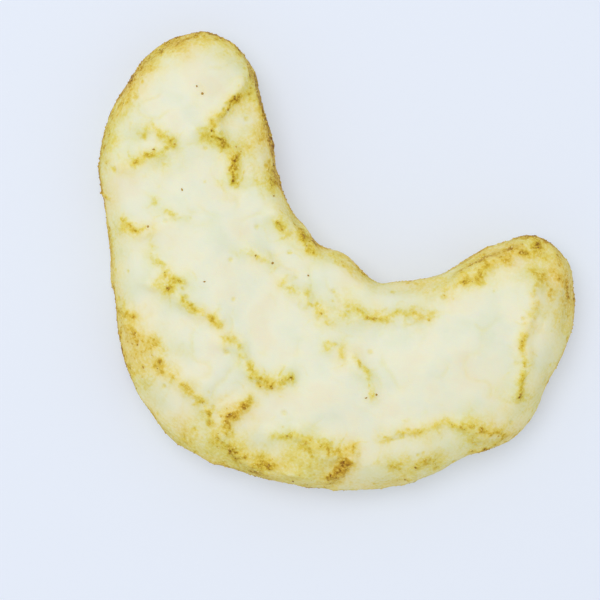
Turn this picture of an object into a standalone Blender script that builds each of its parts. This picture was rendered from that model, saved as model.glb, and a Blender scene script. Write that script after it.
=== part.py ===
"""A crescent rice cracker: one puffed and baked body, thick in the belly, with a round arm at each end.

It lies flat with both arms pointing to +Y and the wider arm at -X. The origin is on the surface it
rests on, under the middle of its box. All sizes below are in millimetres, and bearings are in
degrees, anticlockwise from +X, taken from the hub: the point that the crescent is bent round.
"""

import math

import bmesh
import bpy
from mathutils import Vector, kdtree, noise

MM = 0.001

# Thickness of the body without its crowns, and how high its widest line lies.
BELLY_THICKNESS = 6.2
ARM_THICKNESS = 5.7
EQUATOR_SHARE = 0.40

# The crescent in plan: bearing from the hub, inner radius, outer radius, width of the outer slope.
BAND = (
    (160.0, 14.6, 25.8, 2.6),
    (170.0, 13.8, 27.2, 2.8),
    (180.0, 12.6, 28.3, 2.8),
    (190.0, 10.9, 29.1, 2.6),
    (204.0, 9.9, 29.9, 2.4),
    (216.0, 9.4, 29.5, 3.0),
    (230.0, 9.0, 30.2, 3.4),
    (250.0, 8.7, 34.2, 4.0),
    (264.0, 9.0, 36.2, 4.4),
    (286.0, 8.9, 35.1, 4.6),
    (306.0, 11.3, 34.5, 4.2),
    (321.0, 12.1, 32.9, 4.0),
    (331.0, 12.6, 33.0, 3.8),
    (345.0, 13.7, 30.2, 4.0),
    (356.0, 14.6, 28.3, 3.6),
    (366.0, 15.3, 27.0, 3.0),
    (376.0, 15.9, 25.8, 2.6),
)

# Where each arm's round end starts, and where it closes.
LEFT_END_START, LEFT_TIP = 186.0, 164.2
RIGHT_END_START, RIGHT_TIP = 350.5, 372.6
TIP_ROUNDNESS = 0.75
LAST_RING_TURN = 78.0

# The section: its inner side is steeper than its outer slope, both faces swell into a low crown, and
# the underside turns in a little way inside the outline.
INNER_SLOPE = 2.2
UNDER_OUTER_SLOPE = 3.6
UNDER_INNER_SLOPE = 2.4
TOP_CROWN = 1.3
UNDER_CROWN = 0.9

# Mesh density: points round each section, rings along the belly and in each round end, and the
# share of faces kept after merging where the surface is even. Points within the seam's reach of each
# other are one point.
POINTS_ROUND = 84
BELLY_RINGS = 140
END_RINGS = 12
ARC_STEPS = 24
FLAT_STEPS = 30
KEPT_FACES = 0.40
SEAM_REACH = 0.0001

# Pillows of the top face: (x, y, radius, rise).
PILLOWS = (
    (-22.8, 13.3, 5.6, 0.60),
    (-15.4, 14.6, 2.8, -0.45),
    (-13.0, 0.6, 7.5, 0.35),
    (-4.2, -11.4, 5.0, 0.40),
    (8.6, -6.4, 6.4, 0.35),
    (20.4, 8.4, 6.0, 0.45),
    (25.6, 2.0, 2.4, -0.30),
)

# Blisters are swellings of (size, rise) all over. Creases run round the side, and folds wander over
# the side and the underside, where they come and go in patches: bare is how much of the height is
# there where a patch is neither strong nor weak.
BLISTERS = ((8.0, 0.34), (4.0, 0.16))
FOLD_SIZE, FOLD_SHARPNESS, FOLD_RISE = 9.0, 0.10, 0.50
FOLD_PATCH, FOLD_BARE = 6.0, 0.35
FOLD_PATCH_SHIFT = Vector((5.0, 3.0, 1.0))
CREASE_LENGTH, CREASE_RISE, CREASE_HEIGHT = 5.5, 2.4, 0.32

# How far the lowest bumps are pressed flat where the cracker rests, and the upward tilt of the
# surface at which the wall ends and at which the top face is full.
SETTLE = 0.55
FACE_TILT, FACE_TILT_FULL = 0.35, 0.75

# Wrinkles of the top face: each is a low ridge along a line of (x, y) places, with its height. The
# line wanders and breaks up, and is read from points a spacing apart. The seed picks the wander.
WRINKLE_WIDTH = 0.80
LINE_SPACING = 0.25
WANDER_SIZE, WANDER, WANDER_SEED = 2.2, 0.55, 2
BROKEN_SIZE, BROKEN = 1.6, 0.9
WRINKLES = (
    (0.55, ((-17.4, 19.0), (-18.0, 15.0), (-18.1, 12.1), (-16.6, 11.0), (-15.0, 10.6), (-13.2, 8.0))),
    (0.35, ((-17.4, 11.2), (-19.4, 10.0))),
    (0.40, ((-24.6, 6.9), (-23.2, 8.0), (-21.0, 7.6))),
    (0.35, ((-21.4, 6.0), (-22.6, 4.4), (-24.0, 2.6))),
    (0.30, ((-21.0, -2.8), (-19.0, -2.7), (-18.0, -1.6))),
    (0.40, ((-15.6, -6.7), (-13.7, -6.4), (-12.4, -5.2))),
    (0.45, ((-12.0, -6.4), (-9.4, -7.0), (-6.6, -6.8))),
    (0.50, ((-5.0, -8.3), (-2.8, -8.2), (-1.0, -9.8), (1.4, -9.8), (3.3, -8.1))),
    (0.40, ((-7.4, 2.0), (-4.6, 1.8), (-2.4, 0.9), (0.2, 0.7), (2.5, 0.2), (4.6, 0.6), (8.0, 2.3), (12.2, 5.2))),
    (0.35, ((5.6, -3.0), (8.5, -2.4), (10.0, -3.4), (12.2, -4.6))),
    (0.45, ((-7.4, 6.6), (-4.0, 6.3), (-1.2, 5.9))),
    (0.55, ((5.0, -14.8), (7.4, -13.0), (9.8, -12.8), (12.4, -12.6), (13.9, -12.3), (13.8, -14.2), (13.0, -15.5))),
    (0.45, ((0.8, -12.9), (0.2, -14.4), (-0.2, -16.0), (0.9, -17.4), (2.4, -18.2))),
    (0.45, ((2.4, -17.8), (5.4, -18.2), (8.0, -17.4), (11.4, -16.6))),
    (0.35, ((-16.4, -11.4), (-13.4, -12.6), (-10.4, -12.9), (-7.4, -14.3), (-3.2, -15.2), (-0.4, -16.2))),
    (0.35, ((16.2, -7.0), (18.0, -6.1), (20.0, -4.4), (22.4, -3.2), (26.2, -1.9), (28.4, -0.9))),
    (0.35, ((26.2, 3.2), (25.0, 5.8), (23.9, 8.2), (22.9, 11.0), (21.6, 15.4))),
    (0.40, ((14.4, 10.6), (14.9, 12.0), (16.2, 14.6), (17.8, 16.6))),
)


def clear_scene():
    """Removes what Blender starts with."""
    for thing in list(bpy.data.objects):
        bpy.data.objects.remove(thing)


def read_band(bearing, column):
    """One column of the band at a bearing, on a smooth curve through its rows."""
    last = len(BAND) - 1
    row = 1
    while row < last - 1 and bearing > BAND[row + 1][0]:
        row += 1
    before, start, end = BAND[row - 1], BAND[row], BAND[row + 1]
    after = BAND[min(row + 2, last)]
    span = end[0] - start[0]
    share = (bearing - start[0]) / span
    slope_in = (end[column] - before[column]) / (end[0] - before[0]) * span
    slope_out = (after[column] - start[column]) / max(after[0] - start[0], span) * span
    two, three = share * share, share * share * share
    return (
        (2 * three - 3 * two + 1) * start[column]
        + (three - 2 * two + share) * slope_in
        + (3 * two - 2 * three) * end[column]
        + (three - two) * slope_out
    )


def ring_places():
    """(bearing, width share, height share) of every ring, from the left tip to the right tip."""
    places = []
    turns = [math.radians(LAST_RING_TURN * step / END_RINGS) for step in range(END_RINGS, 0, -1)]
    for turn in turns:
        bearing = LEFT_END_START + (LEFT_TIP - LEFT_END_START) * math.sin(turn)
        places.append((bearing, math.cos(turn), math.cos(turn) ** TIP_ROUNDNESS))
    for step in range(BELLY_RINGS):
        share = step / (BELLY_RINGS - 1)
        places.append((LEFT_END_START + (RIGHT_END_START - LEFT_END_START) * share, 1.0, 1.0))
    for turn in reversed(turns):
        bearing = RIGHT_END_START + (RIGHT_TIP - RIGHT_END_START) * math.sin(turn)
        places.append((bearing, math.cos(turn), math.cos(turn) ** TIP_ROUNDNESS))
    return places


def section_curve(half_width, outer_slope, thickness, width_share, height_share):
    """Close points round one section, as (distance outwards from its middle, height)."""
    equator = thickness * EQUATOR_SHARE
    half = half_width * width_share
    corners = (
        (1, outer_slope, thickness - equator, 0.0),
        (-1, INNER_SLOPE, thickness - equator, 90.0),
        (-1, UNDER_INNER_SLOPE, equator, 180.0),
        (1, UNDER_OUTER_SLOPE, equator, 270.0),
    )
    points = []
    for side, slope, reach, start in corners:
        run = slope * width_share
        arc = []
        for step in range(ARC_STEPS + 1):
            turn = math.radians(start + 90.0 * step / ARC_STEPS)
            arc.append((side * (half - run) + math.cos(turn) * run, math.sin(turn) * reach))
        if points:
            (x0, y0), (x1, y1) = points[-1], arc[0]
            for step in range(1, FLAT_STEPS):
                share = step / FLAT_STEPS
                points.append((x0 + (x1 - x0) * share, y0 + (y1 - y0) * share))
        points += arc
    crowned = []
    for across, up in points:
        crown, reach = (TOP_CROWN, thickness - equator) if up > 0 else (UNDER_CROWN, equator)
        swell = crown * (1 - (across / half) ** 2) * up / reach
        crowned.append((across, (up + swell) * height_share))
    return crowned


def evenly_spaced(points, count):
    """This many points at equal steps along a closed line of points."""
    closed = points + points[:1]
    travel = [0.0]
    for (x0, y0), (x1, y1) in zip(closed, closed[1:]):
        travel.append(travel[-1] + math.hypot(x1 - x0, y1 - y0))
    spread = []
    index = 0
    for step in range(count):
        target = travel[-1] * step / count
        while travel[index + 1] < target:
            index += 1
        share = (target - travel[index]) / (travel[index + 1] - travel[index])
        (x0, y0), (x1, y1) = closed[index], closed[index + 1]
        spread.append((x0 + (x1 - x0) * share, y0 + (y1 - y0) * share))
    return spread


def body_thickness(bearing):
    """Thickness at a bearing: full in the belly, less in the arms."""
    middle = (LEFT_END_START + RIGHT_END_START) / 2
    share = min(1.0, abs(bearing - middle) / (RIGHT_END_START - middle))
    return BELLY_THICKNESS + (ARM_THICKNESS - BELLY_THICKNESS) * share * share


def ring_points(bearing, width_share, height_share):
    """The points of one ring, in space round the hub, with the equator at height 0."""
    inner, outer, slope = (read_band(bearing, column) for column in (1, 2, 3))
    middle = (inner + outer) / 2
    section = section_curve((outer - inner) / 2, slope, body_thickness(bearing), width_share, height_share)
    angle = math.radians(bearing)
    outwards = Vector((math.cos(angle), math.sin(angle), 0))
    return [
        outwards * (middle + across) + Vector((0, 0, up))
        for across, up in evenly_spaced(section, POINTS_ROUND)
    ]


def tip_point(bearing):
    """The point where an arm's round end closes."""
    middle = (read_band(bearing, 1) + read_band(bearing, 2)) / 2
    angle = math.radians(bearing)
    return Vector((math.cos(angle), math.sin(angle), 0)) * middle


def roll_up(sheet, rings):
    """Rolls a flat sheet up into the crescent: its rows become the rings, its end rows the tips."""
    for vertex in sheet.verts:
        ring = round((vertex.co.y + 1) / 2 * (len(rings) + 1)) - 1
        if ring < 0:
            vertex.co = tip_point(LEFT_TIP)
        elif ring >= len(rings):
            vertex.co = tip_point(RIGHT_TIP)
        else:
            vertex.co = rings[ring][round((vertex.co.x + 1) / 2 * POINTS_ROUND) % POINTS_ROUND]
    bmesh.ops.remove_doubles(sheet, verts=sheet.verts, dist=SEAM_REACH)


def wrinkle_lines():
    """All wrinkles as close points on the plan, for nearest-point reading, with the height of each."""
    points, heights = [], []
    for height, line in WRINKLES:
        for (x0, y0), (x1, y1) in zip(line, line[1:]):
            steps = max(1, round(math.hypot(x1 - x0, y1 - y0) / LINE_SPACING))
            for step in range(steps + 1):
                share = step / steps
                points.append((x0 + (x1 - x0) * share, y0 + (y1 - y0) * share, 0))
                heights.append(height)
    tree = kdtree.KDTree(len(points))
    for index, point in enumerate(points):
        tree.insert(point, index)
    tree.balance()
    return tree, heights


def facing_share(tilt):
    """0 on a wall, 1 on a face, with a smooth change between."""
    share = min(1.0, max(0.0, (tilt - FACE_TILT) / (FACE_TILT_FULL - FACE_TILT)))
    return share * share * (3 - 2 * share)


def relief(place, normal, tree, heights):
    """How far the baked surface stands out from the plain form at one place."""
    top = facing_share(normal.z)
    lift = sum(rise * noise.noise(place / size) for size, rise in BLISTERS)
    for x, y, radius, rise in PILLOWS:
        lift += top * rise * math.exp(-((place.x - x) ** 2 + (place.y - y) ** 2) / radius ** 2)
    wander = noise.noise_vector(place / WANDER_SIZE) * WANDER
    _, index, away = tree.find((place.x + wander.x, place.y + wander.y, 0))
    broken = max(0.0, 1 + BROKEN * noise.noise(place / BROKEN_SIZE))
    lift += top * heights[index] * broken * math.exp(-((away / WRINKLE_WIDTH) ** 2))
    ridge = math.exp(-((noise.noise(place / FOLD_SIZE) / FOLD_SHARPNESS) ** 2))
    patch = max(0.0, FOLD_BARE + noise.noise(place / FOLD_PATCH + FOLD_PATCH_SHIFT))
    lift += (1 - top) * FOLD_RISE * ridge * patch
    crease = noise.noise(Vector((place.x / CREASE_LENGTH, place.y / CREASE_LENGTH, place.z / CREASE_RISE)))
    return lift + CREASE_HEIGHT * crease * (1 - facing_share(abs(normal.z)))


def raise_relief(body):
    """Moves every point of the body along its normal by the relief there."""
    tree, heights = wrinkle_lines()
    noise.seed_set(WANDER_SEED)
    body.normal_update()
    lifts = [relief(vertex.co, vertex.normal, tree, heights) for vertex in body.verts]
    for vertex, lift in zip(body.verts, lifts):
        vertex.co += vertex.normal * lift


def box_of(body):
    """Lowest and highest corner."""
    corners = list(zip(*(vertex.co for vertex in body.verts)))
    return Vector(map(min, corners)), Vector(map(max, corners))


def make_cracker():
    """The whole cracker as one object, in metres, resting at z = 0."""
    body = bmesh.new()
    rings = [ring_points(*place) for place in ring_places()]
    bmesh.ops.create_grid(body, x_segments=POINTS_ROUND, y_segments=len(rings) + 1, size=1.0)
    roll_up(body, rings)
    low, high = box_of(body)
    bmesh.ops.translate(body, verts=body.verts, vec=(-(low.x + high.x) / 2, -(low.y + high.y) / 2, 0))
    bmesh.ops.recalc_face_normals(body, faces=body.faces)
    raise_relief(body)
    low, high = box_of(body)
    rest = low.z + SETTLE
    for vertex in body.verts:
        vertex.co.z = max(vertex.co.z, rest)
    bmesh.ops.translate(
        body, verts=body.verts, vec=(-(low.x + high.x) / 2, -(low.y + high.y) / 2, -rest)
    )
    bmesh.ops.scale(body, verts=body.verts, vec=(MM, MM, MM))
    mesh = bpy.data.meshes.new("cracker")
    body.to_mesh(mesh)
    body.free()
    mesh.shade_smooth()
    cracker = bpy.data.objects.new("cracker", mesh)
    merge = cracker.modifiers.new("merge_even_areas", "DECIMATE")
    merge.ratio = KEPT_FACES
    return cracker


def baked_rice():
    """Pale cream baked rice, with a satin skin."""
    material = bpy.data.materials.new("baked_rice")
    material.use_nodes = True
    shader = material.node_tree.nodes["Principled BSDF"]
    shader.inputs["Base Color"].default_value = (0.80, 0.76, 0.55, 1.0)
    shader.inputs["Roughness"].default_value = 0.55
    shader.inputs["Metallic"].default_value = 0.0
    return material


clear_scene()
cracker = make_cracker()
cracker.data.materials.append(baked_rice())
bpy.context.scene.collection.objects.link(cracker)
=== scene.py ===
import math

import bmesh
import bpy
import numpy as np
from mathutils import Matrix, Vector, kdtree, noise


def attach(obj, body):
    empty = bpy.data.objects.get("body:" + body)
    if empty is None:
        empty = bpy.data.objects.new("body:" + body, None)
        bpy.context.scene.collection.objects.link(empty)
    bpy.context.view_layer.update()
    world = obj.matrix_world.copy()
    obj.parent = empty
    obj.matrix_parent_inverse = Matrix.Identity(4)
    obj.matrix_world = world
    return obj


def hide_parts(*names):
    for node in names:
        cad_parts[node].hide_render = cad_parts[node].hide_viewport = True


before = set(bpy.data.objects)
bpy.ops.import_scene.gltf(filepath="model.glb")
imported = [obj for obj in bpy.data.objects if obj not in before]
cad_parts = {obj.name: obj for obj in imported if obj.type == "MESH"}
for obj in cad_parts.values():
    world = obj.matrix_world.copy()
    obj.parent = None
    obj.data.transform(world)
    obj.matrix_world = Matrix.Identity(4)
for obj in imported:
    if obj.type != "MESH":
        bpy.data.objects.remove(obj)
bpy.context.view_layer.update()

# The baked body. One piece of puffed rice dough, bent into a crescent and glazed before baking, so
# its skin is pale, smooth and satin. It is grown from the solid as one closed skin with an even
# mesh, and every low wrinkle, blister and pit is real relief in it.
MM = 0.001
SAME_POINT = 0.002 * MM
SKIN_MESH_SIZE = 0.17 * MM
SKIN_SOFTENING = 13
SKIN_TRIANGLES = 190000
WANDER_SEED = 2

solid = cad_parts["cracker"]
merged = bmesh.new()
merged.from_mesh(solid.data)
bmesh.ops.remove_doubles(merged, verts=merged.verts, dist=SAME_POINT)
rough_mesh = bpy.data.meshes.new("dough")
merged.to_mesh(rough_mesh)
merged.free()
dough = bpy.data.objects.new("dough", rough_mesh)
bpy.context.scene.collection.objects.link(dough)
even = dough.modifiers.new("even_mesh", "REMESH")
even.mode = "VOXEL"
even.voxel_size = SKIN_MESH_SIZE
soften = dough.modifiers.new("soften", "SMOOTH")
soften.factor = 0.5
soften.iterations = SKIN_SOFTENING
even_mesh = bpy.data.meshes.new_from_object(
    dough.evaluated_get(bpy.context.evaluated_depsgraph_get())
)
bpy.data.objects.remove(dough)


def read_vectors(mesh, source):
    """Places or normals of a mesh's points, one row each."""
    values = np.empty(len(mesh.vertices) * 3, dtype=np.float32)
    if source == "place":
        mesh.vertices.foreach_get("co", values)
    else:
        mesh.vertex_normals.foreach_get("vector", values)
    return values.reshape(-1, 3).astype(float)


def noise_over(places, size, shift=0.0):
    """Smooth noise from about -1 to 1 at each place, with swells of about this size."""
    offset = Vector((shift, -shift, 2 * shift))
    return np.array([noise.noise(Vector(place) / size + offset) for place in places])


def wander_over(places, size, amount):
    """A smooth sideways shift for each place, so that drawn lines come out ragged."""
    noise.seed_set(WANDER_SEED)
    return np.array([noise.noise_vector(Vector(place) / size) * amount for place in places])


def ease(low, high, values):
    """0 below low, 1 above high, smooth between."""
    share = np.clip((values - low) / (high - low), 0.0, 1.0)
    return share * share * (3 - 2 * share)


def away_from_line(flat, line):
    """Distance of each flat place from a line of points."""
    nearest = np.full(len(flat), np.inf)
    for start, end in zip(line, line[1:]):
        start, end = np.array(start), np.array(end)
        run = end - start
        share = np.clip((flat - start) @ run / (run @ run), 0.0, 1.0)
        nearest = np.minimum(nearest, np.linalg.norm(flat - start - share[:, None] * run, axis=1))
    return nearest


# The wrinkles on the face, where the dough cracked through the glaze and toasted: strength, width
# in millimetres, and the points it runs through. Those are in steps along and across the crescent,
# counted from a place towards the gap between the arms.
STEP = 0.385
STEP_X, STEP_Y = 5.75, 14.5
WRINKLES = (
    (0.34, 0.42, ((-48, 36), (-48.5, 32), (-49, 28))),
    (0.76, 0.48, ((-49, 28), (-51.2, 23), (-52.4, 19), (-51.6, 14.5))),
    (1.00, 0.56, ((-51.6, 13.2), (-47, 12.4), (-44, 11.4), (-41.8, 8.6), (-40, 5.8))),
    (0.66, 0.50, ((-51, 13), (-54, 10.8))),
    (0.50, 0.50, ((-69.5, 3.5), (-67, 5.5), (-63, 5.4), (-58.5, 6.2))),
    (0.55, 0.40, ((-60.8, 4), (-61.2, 0.5))),
    (0.62, 0.50, ((-61.5, 0.5), (-64.5, -2.5), (-67.5, -6.5))),
    (0.30, 0.45, ((-57, -11), (-53, -12.5), (-46, -11.5))),
    (0.52, 0.45, ((-60, -22), (-55, -21.5), (-52.8, -18.5))),
    (0.45, 0.45, ((-50, -23.5), (-47, -26), (-45, -25.5))),
    (0.60, 0.70, ((-41.2, -31.5), (-39.2, -30.5))),
    (0.70, 0.50, ((-43, -28), (-40, -28.4), (-37, -27))),
    (0.62, 0.45, ((-36, -31), (-30, -32.3), (-22, -32))),
    (0.50, 0.45, ((-18, -35), (-15, -35), (-11.5, -37))),
    (0.74, 0.52, ((-8.5, -39), (-5, -40.4), (-1, -39.5), (1, -38), (3.3, -35.8))),
    (0.34, 0.50, ((-26, -11.2), (-21, -10.6), (-17, -10.2))),
    (0.46, 0.50, ((-12, -12.8), (-6, -12.5), (0, -14.3), (5, -15))),
    (0.48, 0.50, ((7, -10.5), (13, -9), (18, -6.4), (23, -2.4), (28, 0))),
    (0.45, 0.45, ((8, -21.5), (11, -20.7), (13, -22))),
    (0.38, 0.45, ((15.5, -19.6), (18.5, -21.5), (22, -24), (27, -27))),
    (0.70, 0.56, ((-23, 1.2), (-18.5, 0.6))),
    (0.82, 0.60, ((-16, 1.6), (-12, 1.2), (-8.5, 0.2))),
    (0.34, 0.36, ((-4, 2.2), (2, 1.4), (8, 1.8))),
    (0.58, 0.52, ((8.5, -51.5), (12.5, -49), (18.5, -47.2), (25, -47), (29.5, -46))),
    (0.95, 0.70, ((29.4, -45.5), (29.2, -50), (27.4, -54.5))),
    (0.72, 0.60, ((-3.6, -46), (-5.2, -50), (-5.6, -54), (-3.6, -58.5))),
    (0.62, 0.50, ((-50, -43.5), (-45, -44), (-41, -47.5), (-36.5, -47), (-32.5, -47.3))),
    (0.55, 0.50, ((-31, -50.8), (-25.5, -51.2), (-21.5, -53), (-15, -54.8), (-9.5, -57))),
    (0.72, 0.70, ((-5, -60.5), (0, -61.8), (7, -61.8), (12, -60))),
    (0.30, 0.45, ((51, 25), (54.5, 14))),
    (0.58, 0.44, ((54.8, 10), (57, 6.2), (60, 0), (63, -6.5))),
    (0.40, 0.55, ((55.5, -20.3), (60, -19.4), (66.5, -17))),
    (0.46, 0.48, ((35, -36), (39.5, -32), (44, -28), (48, -24.5), (54, -22))),
    (0.44, 0.55, ((40.5, -42.8), (44.5, -41), (48, -37.5), (53, -34.5))),
    (0.62, 0.55, ((31, 12), (33, 15.5), (35, 18.5))),
    (0.70, 0.65, ((36, 21.5), (38.5, 26), (42, 30.5), (46, 34))),
    (0.42, 0.50, ((49, 27), (51, 25), (54.5, 23.6))),
    (0.50, 0.55, ((54, 30.5), (57.5, 28.5), (60.5, 25.5))),
)
# Broad toasted patches: strength, radius in millimetres, and place in the same steps. Those on the
# left arm's outer rim, from (-82, 6) to (-62, 41), and on its inner rim, at (-38, 22) and (-31, 12),
# are partly painted shadow: toasting, and the rim painted darker where it lies in shade.
TOAST_AND_SHADOW_PATCHES = (
    (0.34, 2.6, (-43, 29)),
    (0.30, 2.2, (-41, 17)),
    (0.42, 1.5, (28.6, -50.5)),
    (0.16, 1.8, (23, -49)),
    (0.22, 1.2, (-41, -31)),
    (0.20, 1.2, (-10, -53)),
    (0.26, 0.9, (-52.5, 12)),
    (0.12, 1.8, (-58.5, 1)),
    (0.14, 2.4, (61, -9)),
    (0.12, 2.6, (50, -32)),
    (0.18, 2.4, (25, 8)),
    (0.16, 2.4, (8, -8)),
    (0.45, 1.6, (8, -61.5)),
    (0.42, 2.6, (18, -54)),
    (0.28, 3.0, (-2, -62)),
    (0.26, 3.6, (-38, -53)),
    (0.30, 2.4, (-13, -64.5)),
    (0.16, 2.6, (43, -42)),
    (0.30, 2.6, (58, -22)),
    (0.29, 3.8, (50, 32)),
    (0.22, 2.0, (34, 18)),
    (0.24, 2.6, (61, 22)),
    (0.20, 1.8, (56, 26)),
    # Painted shade as well as toasting: the left arm's inner rim, darker where it lies in shade.
    (0.55, 2.0, (-38, 22)),
    (0.50, 1.8, (-31, 12)),
    # Painted shadow as well as toasting: the left arm's outer rim, darker where it lies in shadow.
    (0.42, 2.4, (-82, 6)),
    (0.50, 2.4, (-83, 14)),
    (0.52, 2.4, (-81, 23)),
    (0.54, 2.4, (-76, 32)),
    (0.50, 2.2, (-69, 38.5)),
    (0.42, 2.2, (-62, 41)),
    (0.30, 2.0, (-78, -4)),
)
# Where the toasting went on from golden to brown: strength, radius and place. Those at (-80, 16) and
# (-74, 32) on the left arm's outer rim and at (-36, 20) on its inner rim are partly painted shadow, a
# darker amber where the rim lies in shade.
BROWNING_AND_SHADOW_SPOTS = (
    (0.50, 6.0, (-24, -54)),
    (0.40, 7.0, (38, -48)),
    (0.45, 5.0, (22, 6)),
    (1.0, 2.6, (29.8, -51)),
    (0.4, 2.4, (5, -58)),
    (0.6, 3.4, (-26, -49)),
    (0.7, 4.0, (-39, -46)),
    (0.7, 3.4, (-5, -52)),
    # Painted shade as well as browning: the left arm's inner rim.
    (0.8, 3.6, (-36, 20)),
    (0.20, 5.0, (52, 31)),
    (0.4, 3.0, (62, -19)),
    (0.5, 2.6, (39, 27)),
    (1.0, 3.2, (57, 26)),
    # Painted shadow as well as browning: the left arm's outer rim.
    (0.6, 4.0, (-80, 16)),
    (0.5, 3.0, (-74, 32)),
)
# Stretches of the side kept paler: share kept back, radius and place. The two on the outer right, at
# (56, -31) and (66, -15), are painted light, paler where that side turns away from the lamp.
PALE_AND_LIT_SIDES = (
    (0.50, 3.0, (-2, 3)),
    (0.72, 3.2, (24, 12)),
    # Painted light: the outer right side kept paler where it turns away from the lamp.
    (0.85, 4.2, (56, -31)),
    (0.62, 3.2, (66, -15)),
)
# How the drawn lines stray, as swells of (size, amount), and how far the browning of a wrinkle and
# its halo reach, in widths of the wrinkle. Veins run in the glaze up to a reach beside each wrinkle.
WANDER = (2.2, 0.55)
RAGGED = (0.8, 0.34)
CORE_REACH, HALO_REACH = 0.78, 2.2
VEIN_REACH, VEIN_SHARPNESS, VEIN_BREAKS = 1.9, 0.06, (-0.15, 0.25)

# Folds that wander over the underside and the sides, and faint ones in the glaze. Each comes and
# goes in patches.
FOLD_SIZE, FOLD_SHARPNESS, FOLD_HALO = 9.0, 0.05, 3.0
FOLD_PATCH, FOLD_BARE, FOLD_GAIN = 6.0, 0.35, 1.6
FOLD_PATCH_SHIFT = Vector((5.0, 3.0, 1.0))
GLAZE_FOLD_SHARPNESS, GLAZE_FOLD_PATCH = 0.10, (0.0, 0.35)
UNDERSIDE_PATCH = (0.10, 0.50)

# The fields of noise: size of the swells in millimetres, and a shift that keeps each one apart.
GRIT_NOISE = (0.42, 0.0)
PIT_NOISE = (0.55, 11.0)
RIDGE_NOISE = (0.85, 6.0)
BLISTER_NOISE = (1.1, 8.0)
CLUMP_NOISE = (1.2, 3.0)
DIMPLE_NOISE = (1.4, 4.0)
VEIN_NOISE = (2.0, 21.0)
GLAZE_FOLD_NOISE = (2.8, 13.0)
SWELL_NOISE = (3.2, 1.0)
MOTTLE_NOISE = (4.5, 7.0)
GLAZE_FOLD_PATCH_NOISE = (4.5, 15.0)
UNDERSIDE_NOISE = (5.5, 17.0)

# Ranges of the surface's tilt, from -1, facing down, to 1, facing up. Over the first three it comes
# to count as part of the top face, of what shows from above, and of all but the underside. Over the
# others the toasting of the shoulder, wall and edge and the browning of the sides fade.
FACE_TILT = (0.35, 0.75)
UPPER_TILT = (-0.40, 0.05)
SIDE_TILT = (-0.85, -0.35)
SHOULDER_TILT = (0.60, 0.995)
WALL_TILT = (0.05, 0.75)
EDGE_TILT = (0.05, 0.45)
BROWN_TILT = (0.0, 0.6)

# The edge darker towards the left arm, between these distances to the left: partly more toasting,
# partly painted shadow along that rim.
LEFT_ARM_TOAST_AND_SHADOW = (5.0, 14.0)

PINHOLES = 420
PINHOLE_SIZES = (0.16, 0.36)
PINHOLE_LIKING = 0.02
PIN_LIP_PLACE, PIN_LIP_WIDTH = 1.25, 0.3

# Heights of the relief, in millimetres.
SWELL, DIMPLE = 0.17, 0.03
GLAZE_FOLD_DEPTH, VEIN_RISE = 0.05, 0.04
CRUST_RISE, CRUST_RIDGE, CRUST_PIT = 0.05, 0.13, 0.13
TOAST_BLISTER, TOAST_GRIT, TOAST_PIT = 0.045, 0.03, 0.05
PIN_LIP_RISE, PIN_DEPTH = 0.02, 0.10


def on_cracker(point):
    """Millimetres in the cracker's own frame from a place in steps."""
    return ((point[0] + STEP_X) * STEP, (point[1] + STEP_Y) * STEP)


def spots_over(flat, spots):
    """The strongest of a row of soft round spots at each flat place."""
    strongest = np.zeros(len(flat))
    for strength, radius, centre in spots:
        away = np.linalg.norm(flat - np.array(on_cracker(centre)), axis=1)
        strongest = np.maximum(strongest, strength * np.exp(-((away / radius) ** 2)))
    return strongest


def away_from_nearest(places, centres):
    """Distance of each place from the nearest centre, and which centre that is."""
    tree = kdtree.KDTree(len(centres))
    for index, centre in enumerate(centres):
        tree.insert(centre, index)
    tree.balance()
    found = [tree.find(place) for place in places]
    return np.array([away for _, _, away in found]), np.array([index for _, index, _ in found])


places = read_vectors(even_mesh, "place") / MM
normals = read_vectors(even_mesh, "normal")
tilt = normals[:, 2]
face_share = ease(*FACE_TILT, tilt)
upper_share = ease(*UPPER_TILT, tilt)
side_share = ease(*SIDE_TILT, tilt)
shoulder = 1 - ease(*SHOULDER_TILT, np.abs(tilt))
flat = (places + wander_over(places, *WANDER) + wander_over(places, *RAGGED))[:, :2]
browning_side = side_share * (1 - spots_over(flat, PALE_AND_LIT_SIDES))
wall = browning_side * (1 - ease(*WALL_TILT, tilt))
edge = browning_side * (1 - ease(*EDGE_TILT, tilt))
grit = noise_over(places, *GRIT_NOISE)
clumps = noise_over(places, *CLUMP_NOISE)
broken = np.clip(0.85 + 1.2 * clumps + 0.5 * grit, 0.0, 1.2)
dotted = ease(0.10, 0.42, grit + 0.4 * clumps)

core = np.zeros(len(places))
halo = np.zeros(len(places))
reach = np.zeros(len(places))
for strength, width, line in WRINKLES:
    away = away_from_line(flat, [on_cracker(point) for point in line])
    core = np.maximum(core, strength * np.exp(-((away / (CORE_REACH * width)) ** 2)))
    halo = np.maximum(halo, strength * np.exp(-((away / (HALO_REACH * width)) ** 2)))
    reach = np.maximum(reach, strength * np.exp(-((away / VEIN_REACH) ** 2)))
core *= upper_share
halo *= upper_share
veins = np.exp(-((noise_over(places, *VEIN_NOISE) / VEIN_SHARPNESS) ** 2))
veins *= reach * upper_share * ease(*VEIN_BREAKS, clumps)
fold_noise = noise_over(places, FOLD_SIZE) / FOLD_SHARPNESS
fold = np.exp(-(fold_noise ** 2))
patch_noise = [noise.noise(Vector(place) / FOLD_PATCH + FOLD_PATCH_SHIFT) for place in places]
fold_patch = np.clip(FOLD_BARE + np.array(patch_noise), 0.0, 1.0)
hidden_fold = (1 - face_share) * fold * np.clip(FOLD_GAIN * fold_patch, 0.0, 1.0)
hidden_halo = (1 - upper_share) * np.exp(-((fold_noise / FOLD_HALO) ** 2)) * fold_patch
underside_patch = (1 - upper_share) * ease(*UNDERSIDE_PATCH, noise_over(places, *UNDERSIDE_NOISE))
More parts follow.
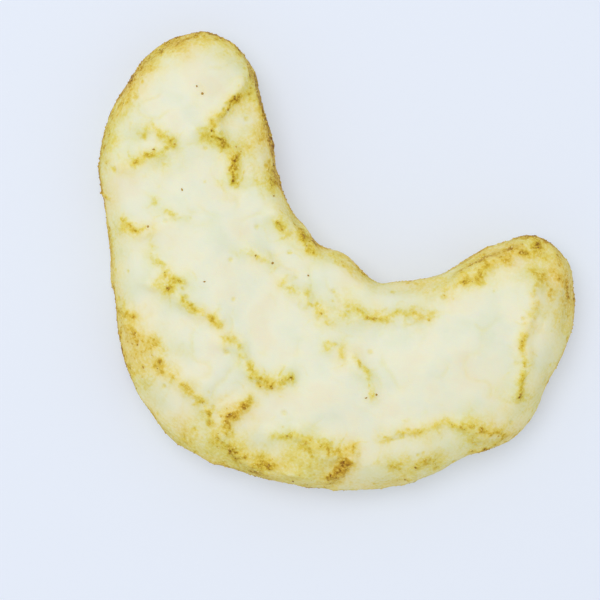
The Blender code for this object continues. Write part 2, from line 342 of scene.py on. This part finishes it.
glaze_fold = np.exp(-((noise_over(places, *GLAZE_FOLD_NOISE) / GLAZE_FOLD_SHARPNESS) ** 2))
glaze_fold *= ease(*GLAZE_FOLD_PATCH, noise_over(places, *GLAZE_FOLD_PATCH_NOISE))

# How far each point toasted, from 0, plain glaze, to 1, dark crust, and how brown it went. Each
# layer of toasting is its strength times where it lies, and most are mottled or speckled.
mottle = noise_over(places, *MOTTLE_NOISE)
speckled = np.clip(0.9 + 0.6 * clumps, 0.0, 1.2)
patch_speckle = np.clip(0.85 + 0.5 * clumps + 0.3 * dotted, 0.0, 1.3)
layers = (
    0.13 * shoulder,
    wall * np.clip(0.28 + 0.16 * mottle + 0.08 * clumps, 0.0, 1.0),
    edge * np.clip(0.26 + 0.26 * mottle + 0.22 * clumps, 0.0, 1.0),
    # The left arm's edge: toasting and painted shadow.
    0.34 * edge * ease(*LEFT_ARM_TOAST_AND_SHADOW, -places[:, 0]) * upper_share,
    # Side patches: toasting, and painted shadow on the left arm's rims.
    0.95 * side_share * spots_over(flat, TOAST_AND_SHADOW_PATCHES) * patch_speckle,
    0.32 * halo * speckled,
    0.50 * core * broken,
    0.44 * core * dotted,
    0.34 * veins,
    0.08 * glaze_fold,
    0.24 * hidden_halo * speckled,
    0.42 * underside_patch * broken,
    0.50 * hidden_fold * broken,
    0.40 * hidden_fold * dotted,
)
untouched = np.ones(len(places))
for layer in layers:
    untouched *= 1 - np.clip(layer, 0.0, 1.0)
toast = 1 - untouched
side_brown = 0.75 * (1 - ease(*BROWN_TILT, tilt)) * np.clip(0.85 + 0.6 * mottle, 0.0, 1.2)
browned = np.clip(np.maximum(spots_over(flat, BROWNING_AND_SHADOW_SPOTS), side_brown), 0.0, 1.0)

# Pinholes, where small bubbles burst through the glaze, most of them on the toasted parts.
draw = np.random.default_rng(7)
pin_liking = PINHOLE_LIKING + toast
pins = draw.choice(len(places), size=PINHOLES, replace=False, p=pin_liking / pin_liking.sum())
pin_sizes = draw.uniform(*PINHOLE_SIZES, size=PINHOLES)
pin_away, pin_index = away_from_nearest(places, places[pins])
pin_share = pin_away / pin_sizes[pin_index]
pinhole = np.exp(-(pin_share ** 4))
pin_lip = np.exp(-(((pin_share - PIN_LIP_PLACE) / PIN_LIP_WIDTH) ** 2))
toast = np.clip(toast + 0.16 * pinhole, 0.0, 1.0)

# Relief: the glaze swells between the wrinkles, each wrinkle stands up in a crumbly, pitted crust,
# and the toasted side is finely blistered.
swell = SWELL * noise_over(places, *SWELL_NOISE) + DIMPLE * noise_over(places, *DIMPLE_NOISE)
crust = np.clip(core + 0.8 * hidden_fold, 0.0, 1.0)
ridged = 1 - 2.2 * np.abs(noise_over(places, *RIDGE_NOISE))
pitted = ease(0.10, 0.45, noise_over(places, *PIT_NOISE))
blister = 1 - 2.0 * np.abs(noise_over(places, *BLISTER_NOISE))
crumbly = CRUST_RISE + CRUST_RIDGE * ridged * broken - CRUST_PIT * pitted
lift = swell - GLAZE_FOLD_DEPTH * glaze_fold + VEIN_RISE * veins + crust * crumbly
blistered = TOAST_BLISTER * blister + TOAST_GRIT * grit - TOAST_PIT * pitted
lift += np.clip(1.5 * toast, 0, 1) * blistered
pin_depth = np.clip(pin_sizes[pin_index] / PINHOLE_SIZES[1], 0, 1)
lift += PIN_LIP_RISE * pin_lip - PIN_DEPTH * pinhole * pin_depth
moved = places + normals * lift[:, None]
moved[:, 2] = np.maximum(moved[:, 2], 0.0)
even_mesh.vertices.foreach_set("co", (moved * MM).astype(np.float32).ravel())
# Both shares also hold the painted shadow on the left arm's rims.
for name, values in (("toast", toast), ("browned", browned)):
    attribute = even_mesh.attributes.new(name, "FLOAT", "POINT")
    attribute.data.foreach_set("value", values.astype(np.float32))
even_mesh.update()
settled = read_vectors(even_mesh, "place")
outward = read_vectors(even_mesh, "normal")
thinned = bpy.data.objects.new("thinned", even_mesh)
bpy.context.scene.collection.objects.link(thinned)
fewer = thinned.modifiers.new("fewer_on_the_plain_glaze", "DECIMATE")
fewer.ratio = SKIN_TRIANGLES / (2 * len(even_mesh.polygons))
skin_mesh = bpy.data.meshes.new_from_object(
    thinned.evaluated_get(bpy.context.evaluated_depsgraph_get())
)
bpy.data.objects.remove(thinned)
skin_mesh.name = "glazed_skin"
skin_mesh.shade_smooth()
skin = bpy.data.objects.new("glazed_skin", skin_mesh)
bpy.context.scene.collection.objects.link(skin)


def linear(red, green, blue):
    """Shader colour from ordinary screen values of 0 to 255."""
    return tuple(((value / 255 + 0.055) / 1.055) ** 2.4 for value in (red, green, blue)) + (1.0,)


def add_node(material, kind, **settings):
    """A new shader node with some of its settings or unlinked inputs given by name."""
    node = material.node_tree.nodes.new(kind)
    for name, value in settings.items():
        if hasattr(node, name):
            setattr(node, name, value)
        else:
            node.inputs[name.replace("_", " ")].default_value = value
    return node


def add_ramp(material, stops):
    """A colour ramp through (place, colour) stops."""
    ramp = material.node_tree.nodes.new("ShaderNodeValToRGB")
    elements = ramp.color_ramp.elements
    while len(elements) < len(stops):
        elements.new(0.5)
    for element, (place, colour) in zip(elements, stops):
        element.position = place
        element.color = colour
    return ramp


glaze = bpy.data.materials.new("toasted_glaze")
glaze.use_nodes = True
join = glaze.node_tree.links.new
shader = glaze.node_tree.nodes["Principled BSDF"]
spot = add_node(glaze, "ShaderNodeTexCoord")
toasted = add_node(glaze, "ShaderNodeAttribute", attribute_name="toast")
brown_share = add_node(glaze, "ShaderNodeAttribute", attribute_name="browned")
speckle = add_node(glaze, "ShaderNodeTexNoise", Scale=3000.0, Detail=3.0, Roughness=0.6)
cloud = add_node(glaze, "ShaderNodeTexNoise", Scale=230.0, Detail=3.0)
grain = add_node(glaze, "ShaderNodeTexNoise", Scale=3400.0, Detail=2.0)
for texture in (speckle, cloud, grain):
    join(spot.outputs["Object"], texture.inputs["Vector"])
centred = add_node(glaze, "ShaderNodeMath", operation="SUBTRACT")
centred.inputs[1].default_value = 0.5
join(speckle.outputs["Fac"], centred.inputs[0])
scaled = add_node(glaze, "ShaderNodeMath", operation="MULTIPLY")
join(centred.outputs[0], scaled.inputs[0])
join(toasted.outputs["Fac"], scaled.inputs[1])
spread = add_node(glaze, "ShaderNodeMath", operation="MULTIPLY_ADD")
spread.inputs[1].default_value = 2.0
join(scaled.outputs[0], spread.inputs[0])
join(toasted.outputs["Fac"], spread.inputs[2])
golden = add_ramp(glaze, (
    (0.00, linear(237, 236, 212)),
    (0.12, linear(237, 232, 186)),
    (0.30, linear(233, 220, 130)),
    (0.48, linear(227, 206, 84)),
    (0.66, linear(211, 181, 46)),
    (0.84, linear(182, 142, 24)),
    (1.00, linear(138, 97, 14)),
))
brown = add_ramp(glaze, (
    (0.00, linear(239, 235, 211)),
    (0.12, linear(238, 227, 182)),
    (0.30, linear(235, 214, 130)),
    (0.48, linear(226, 192, 76)),
    (0.66, linear(204, 160, 38)),
    (0.84, linear(170, 120, 18)),
    (1.00, linear(124, 80, 12)),
))
join(spread.outputs[0], golden.inputs["Fac"])
join(spread.outputs[0], brown.inputs["Fac"])
baked = add_node(glaze, "ShaderNodeMix", data_type="RGBA")
join(brown_share.outputs["Fac"], baked.inputs["Factor"])
join(golden.outputs["Color"], baked.inputs["A"])
join(brown.outputs["Color"], baked.inputs["B"])
cream = add_ramp(glaze, (
    (0.34, linear(246, 250, 246)),
    (0.45, linear(251, 253, 252)),
    (0.54, linear(255, 254, 249)),
    (0.66, linear(255, 250, 242)),
))
join(cloud.outputs["Fac"], cream.inputs["Fac"])
tinted = add_node(glaze, "ShaderNodeMix", data_type="RGBA", blend_type="MULTIPLY")
tinted.inputs["Factor"].default_value = 1.0
join(baked.outputs["Result"], tinted.inputs["A"])
join(cream.outputs["Color"], tinted.inputs["B"])
join(tinted.outputs["Result"], shader.inputs["Base Color"])
satin = add_node(glaze, "ShaderNodeMapRange")
satin.inputs["To Min"].default_value = 0.42
satin.inputs["To Max"].default_value = 0.66
join(spread.outputs[0], satin.inputs["Value"])
join(satin.outputs["Result"], shader.inputs["Roughness"])
peel = add_node(glaze, "ShaderNodeTexNoise", Scale=1100.0, Detail=2.0)
join(spot.outputs["Object"], peel.inputs["Vector"])
ripple = add_node(glaze, "ShaderNodeBump")
ripple.inputs["Strength"].default_value = 0.5
ripple.inputs["Distance"].default_value = 0.03 * MM
join(peel.outputs["Fac"], ripple.inputs["Height"])
rough_share = add_node(glaze, "ShaderNodeMath", operation="ADD")
rough_share.inputs[1].default_value = 0.12
join(toasted.outputs["Fac"], rough_share.inputs[0])
rough_height = add_node(glaze, "ShaderNodeMath", operation="MULTIPLY")
join(rough_share.outputs[0], rough_height.inputs[0])
join(grain.outputs["Fac"], rough_height.inputs[1])
crumble = add_node(glaze, "ShaderNodeBump")
crumble.inputs["Strength"].default_value = 0.75
crumble.inputs["Distance"].default_value = 0.16 * MM
join(rough_height.outputs[0], crumble.inputs["Height"])
join(ripple.outputs["Normal"], crumble.inputs["Normal"])
join(crumble.outputs["Normal"], shader.inputs["Normal"])
shader.inputs["Subsurface Weight"].default_value = 0.18
shader.inputs["Subsurface Radius"].default_value = (1.0, 0.75, 0.4)
shader.inputs["Subsurface Scale"].default_value = 0.9 * MM
shader.inputs["Specular IOR Level"].default_value = 0.28
skin_mesh.materials.clear()
skin_mesh.materials.append(glaze)
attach(skin, "root")
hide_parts("cracker")

# The toasted crumbs. Grains of rice flour that burst out of the cracked glaze and browned, baked
# on along the wrinkles and the rim, with a few darker specks on the pale face between. Each is a
# small craggy ball, pressed flat and set into the skin.
CRUMBS = 3000
CRUMB_BATCH = 100
CRUMB_SIZES = (0.06, 0.15)
CRUMB_WIDTHS, CRUMB_HEIGHTS = (0.55, 1.0), (0.4, 0.75)
CRUMB_CRAGS = (0.7, 1.3)
CRUMB_STANDS_OUT = 0.1
CRUMB_TOAST, CRUMB_CROWDING, CRUMB_STRAYS = 0.24, 1.5, 0.15
CRUMB_LOWEST = 0.4 * MM
CRUMB_TONE, CRUMB_TONE_BY_TOAST, CRUMB_TONE_SPREAD = 0.05, 0.6, 0.22
LONE_SPECK_SIZE, LONE_SPECK_TONE = 0.16, 0.72
OFF_THE_FACE = 10.0
LONE_SPECKS = (
    (-62.5, 23), (-60, 22.3), (-51, -4.5), (-26, 9.6), (-7.3, -7.4), (24.8, -29), (27, -26.6),
    (-64, 1), (-23, -10), (-18, -9.6), (-32, -24), (-39.5, -49.5), (-35, -55), (-54, -18.5),
)
liking = np.clip(toast - CRUMB_TOAST, 0, None) ** CRUMB_CROWDING * (CRUMB_STRAYS + dotted)
liking *= settled[:, 2] > CRUMB_LOWEST
seats = list(draw.choice(len(settled), size=CRUMBS, replace=False, p=liking / liking.sum()))
for place in LONE_SPECKS:
    away = np.linalg.norm(places[:, :2] - np.array(on_cracker(place)), axis=1)
    seats.append(int(np.argmin(away + OFF_THE_FACE * (1 - face_share))))
crumbs_mesh = bpy.data.meshes.new("toasted_crumbs")
crumbs_form = bmesh.new()
for start in range(0, len(seats), CRUMB_BATCH):
    batch = bmesh.new()
    roast = batch.verts.layers.float.new("roast")
    for order, index in enumerate(seats[start:start + CRUMB_BATCH], start):
        lone = order >= CRUMBS
        size = (CRUMB_SIZES[0] + (CRUMB_SIZES[1] - CRUMB_SIZES[0]) * draw.random() ** 2) * MM
        if lone:
            size = LONE_SPECK_SIZE * MM
        normal = Vector(outward[index])
        upwards = normal.to_track_quat("Z", "Y").to_matrix()
        turn = upwards @ Matrix.Rotation(draw.uniform(0, math.tau), 3, "Z")
        squash = Matrix.Diagonal((1.0, draw.uniform(*CRUMB_WIDTHS), draw.uniform(*CRUMB_HEIGHTS)))
        seat = Vector(settled[index]) + normal * size * CRUMB_STANDS_OUT
        place = Matrix.Translation(seat) @ (turn @ squash).to_4x4()
        made = bmesh.ops.create_icosphere(batch, subdivisions=1, radius=size, matrix=place)
        tone = LONE_SPECK_TONE
        if not lone:
            usual_tone = CRUMB_TONE + CRUMB_TONE_BY_TOAST * toast[index]
            tone = np.clip(draw.normal(usual_tone, CRUMB_TONE_SPREAD), 0.0, 1.0)
        for vertex in made["verts"]:
            vertex.co = seat + (vertex.co - seat) * draw.uniform(*CRUMB_CRAGS)
            vertex[roast] = tone
    batch.to_mesh(crumbs_mesh)
    batch.free()
    crumbs_form.from_mesh(crumbs_mesh)
crumbs_form.to_mesh(crumbs_mesh)
crumbs_form.free()
crumbs = bpy.data.objects.new("toasted_crumbs", crumbs_mesh)
bpy.context.scene.collection.objects.link(crumbs)

crumb_finish = bpy.data.materials.new("browned_flour")
crumb_finish.use_nodes = True
join = crumb_finish.node_tree.links.new
crumb_shader = crumb_finish.node_tree.nodes["Principled BSDF"]
roasted = add_node(crumb_finish, "ShaderNodeAttribute", attribute_name="roast")
crumb_spot = add_node(crumb_finish, "ShaderNodeTexCoord")
crumb_mottle = add_node(crumb_finish, "ShaderNodeTexNoise", Scale=4000.0, Detail=1.0)
join(crumb_spot.outputs["Object"], crumb_mottle.inputs["Vector"])
crumb_tone = add_node(crumb_finish, "ShaderNodeMath", operation="MULTIPLY_ADD")
crumb_tone.inputs[1].default_value = 0.3
join(crumb_mottle.outputs["Fac"], crumb_tone.inputs[0])
join(roasted.outputs["Fac"], crumb_tone.inputs[2])
crumb_colours = add_ramp(crumb_finish, (
    (0.10, linear(237, 221, 138)),
    (0.45, linear(226, 198, 80)),
    (0.75, linear(200, 158, 42)),
    (1.00, linear(144, 100, 22)),
))
join(crumb_tone.outputs[0], crumb_colours.inputs["Fac"])
join(crumb_colours.outputs["Color"], crumb_shader.inputs["Base Color"])
crumb_shader.inputs["Roughness"].default_value = 0.6
crumbs_mesh.materials.append(crumb_finish)
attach(crumbs, "root")

# The floor is a plain cool white sheet that glows a little, as in a bright white studio. It is lit by
# an overcast sky and one broad soft lamp nearly overhead, a little to the upper left, and seen from
# straight above with the gap between the arms at the upper right.
TURN = math.radians(30.7)
FIELD = 68 * MM
HEIGHT = 330 * MM
FLOOR_HALF_WIDTH = 0.6
FLOOR_GLOW = 0.30
SKY_COLOUR, SKY_STRENGTH = (0.97, 0.985, 1.0, 1.0), 0.64
LAMP_WIDTH, LAMP_POWER = 0.45, 1.28
LAMP_PLACE = Vector((-0.11, 0.12, 0.55))
floor_form = bmesh.new()
bmesh.ops.create_grid(floor_form, x_segments=1, y_segments=1, size=FLOOR_HALF_WIDTH)
floor_mesh = bpy.data.meshes.new("floor")
floor_form.to_mesh(floor_mesh)
floor_form.free()
floor = bpy.data.objects.new("floor", floor_mesh)
bpy.context.scene.collection.objects.link(floor)
paper = bpy.data.materials.new("cool_white")
paper.use_nodes = True
paper_shader = paper.node_tree.nodes["Principled BSDF"]
paper_shader.inputs["Base Color"].default_value = linear(198, 204, 213)
paper_shader.inputs["Emission Color"].default_value = linear(231, 237, 255)
paper_shader.inputs["Emission Strength"].default_value = FLOOR_GLOW
paper_shader.inputs["Roughness"].default_value = 0.8
floor_mesh.materials.append(paper)

sky = bpy.data.worlds.new("overcast")
sky.use_nodes = True
sky.node_tree.nodes["Background"].inputs["Color"].default_value = SKY_COLOUR
sky.node_tree.nodes["Background"].inputs["Strength"].default_value = SKY_STRENGTH
bpy.context.scene.world = sky
lamp_light = bpy.data.lights.new("window", "AREA")
lamp_light.shape = "DISK"
lamp_light.size = LAMP_WIDTH
lamp_light.energy = LAMP_POWER
lamp = bpy.data.objects.new("window", lamp_light)
lamp.location = Matrix.Rotation(TURN, 3, "Z") @ LAMP_PLACE
lamp.rotation_euler = (-lamp.location).to_track_quat("-Z", "Y").to_euler()
bpy.context.scene.collection.objects.link(lamp)

lens = bpy.data.cameras.new("camera")
lens.sensor_width = 36.0
lens.lens = lens.sensor_width * HEIGHT / FIELD
camera = bpy.data.objects.new("camera", lens)
camera.location = (0.0, 0.0, HEIGHT)
camera.rotation_euler = (0.0, 0.0, TURN)
bpy.context.scene.collection.objects.link(camera)
bpy.context.scene.camera = camera
bpy.context.scene.view_settings.view_transform = "Standard"
